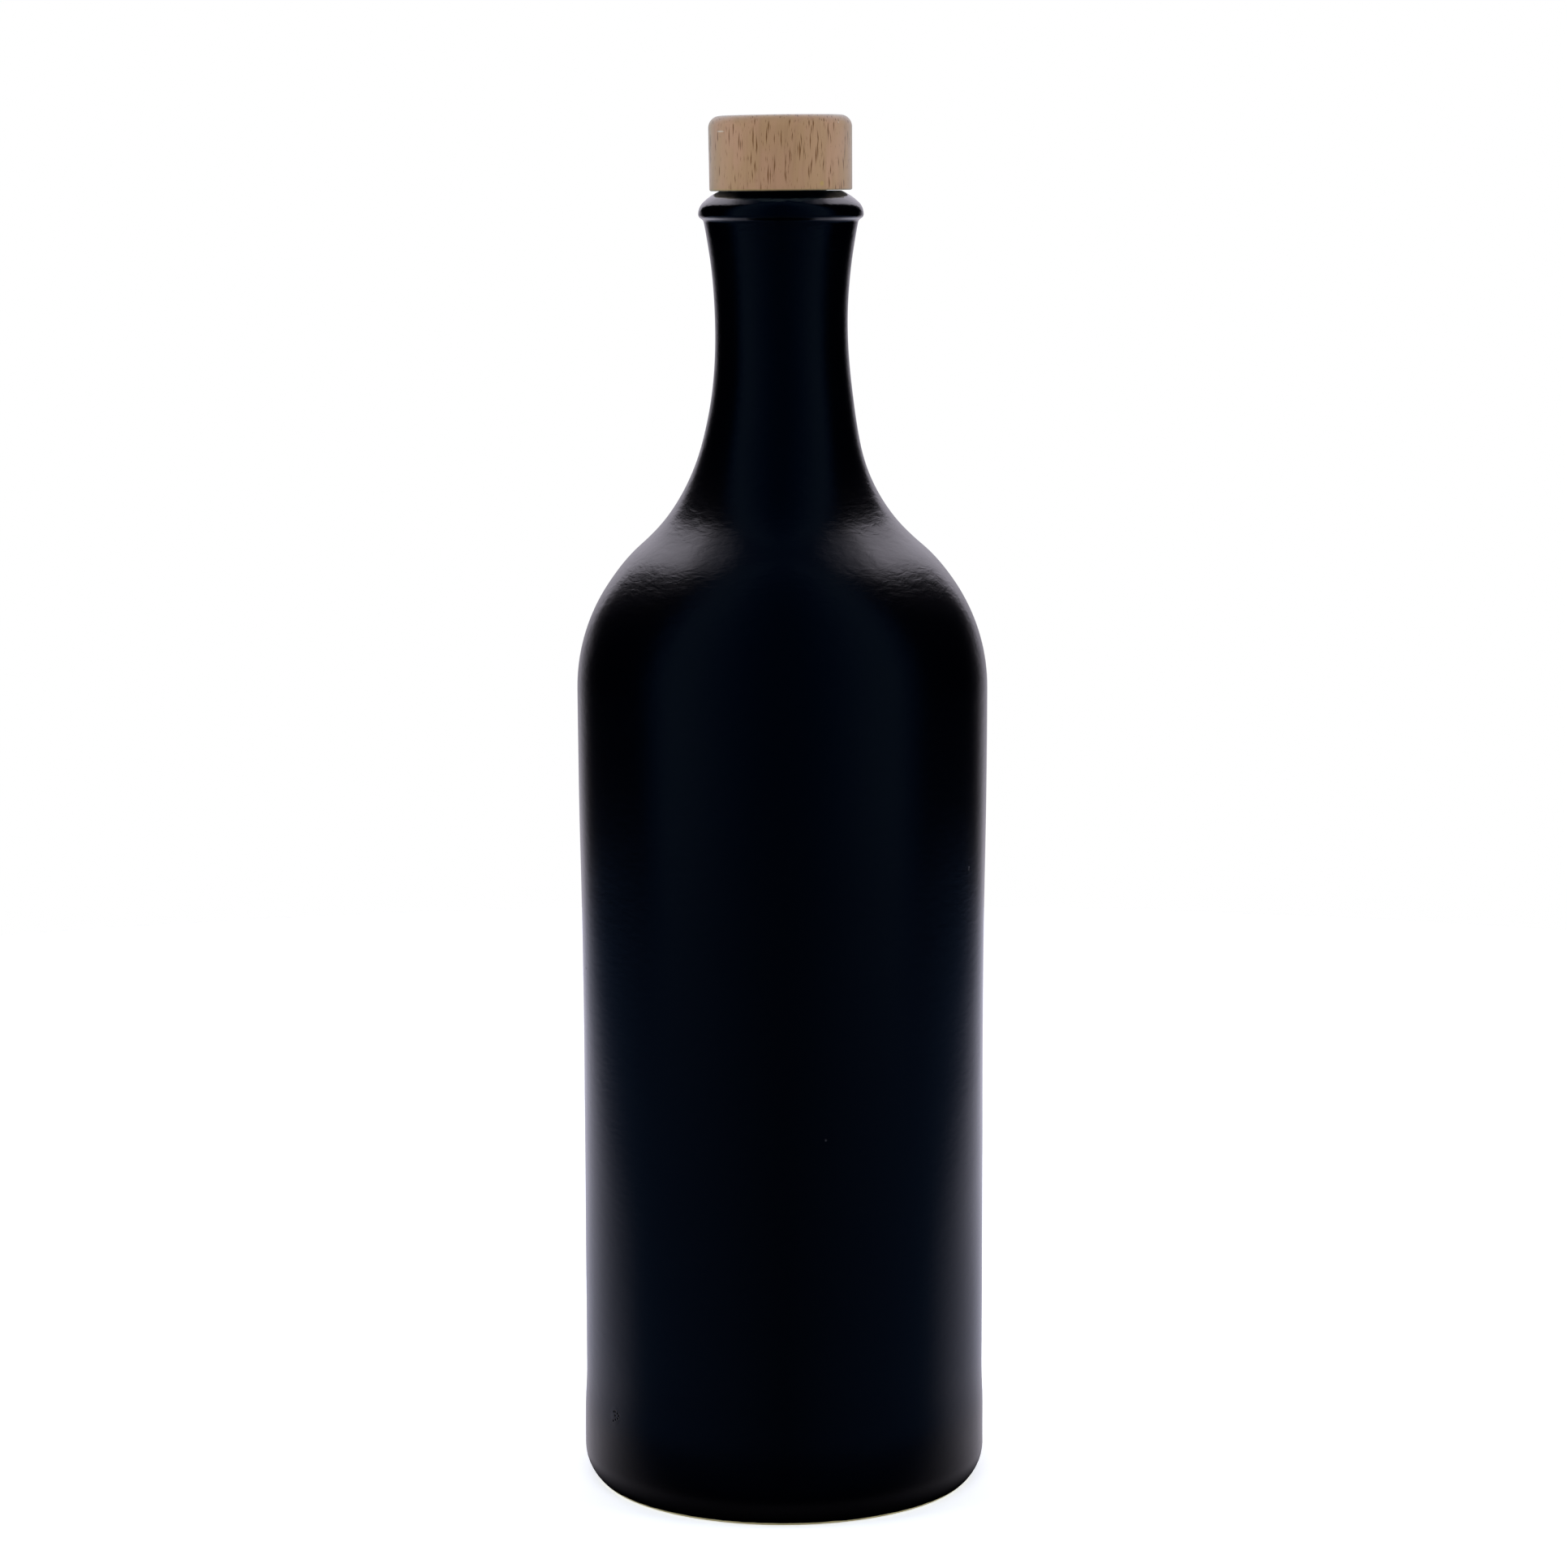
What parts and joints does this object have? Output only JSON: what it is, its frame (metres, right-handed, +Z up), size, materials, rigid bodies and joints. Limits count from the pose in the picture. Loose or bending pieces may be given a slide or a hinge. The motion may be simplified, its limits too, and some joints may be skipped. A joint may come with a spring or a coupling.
{
  "type": "long-neck stoneware bottle",
  "caption": "Shut bottle of dark glazed stoneware for a drink, with a round shoulder, a long waisted neck, a rolled lip and a round beech stopper.",
  "frame": {"origin": "centre of the ring that the bottle stands on", "axes": "+Z up the bottle's axis to the stopper; the form is turned, so X and Y may point any way"},
  "size_m": [0.084, 0.084, 0.2812],
  "materials": {
    "dark_glaze": "satin",
    "beech": "matte"
  },
  "bodies": {
    "root": {"bottle": "dark_glaze", "stopper": "beech"}
  },
  "joints": []
}
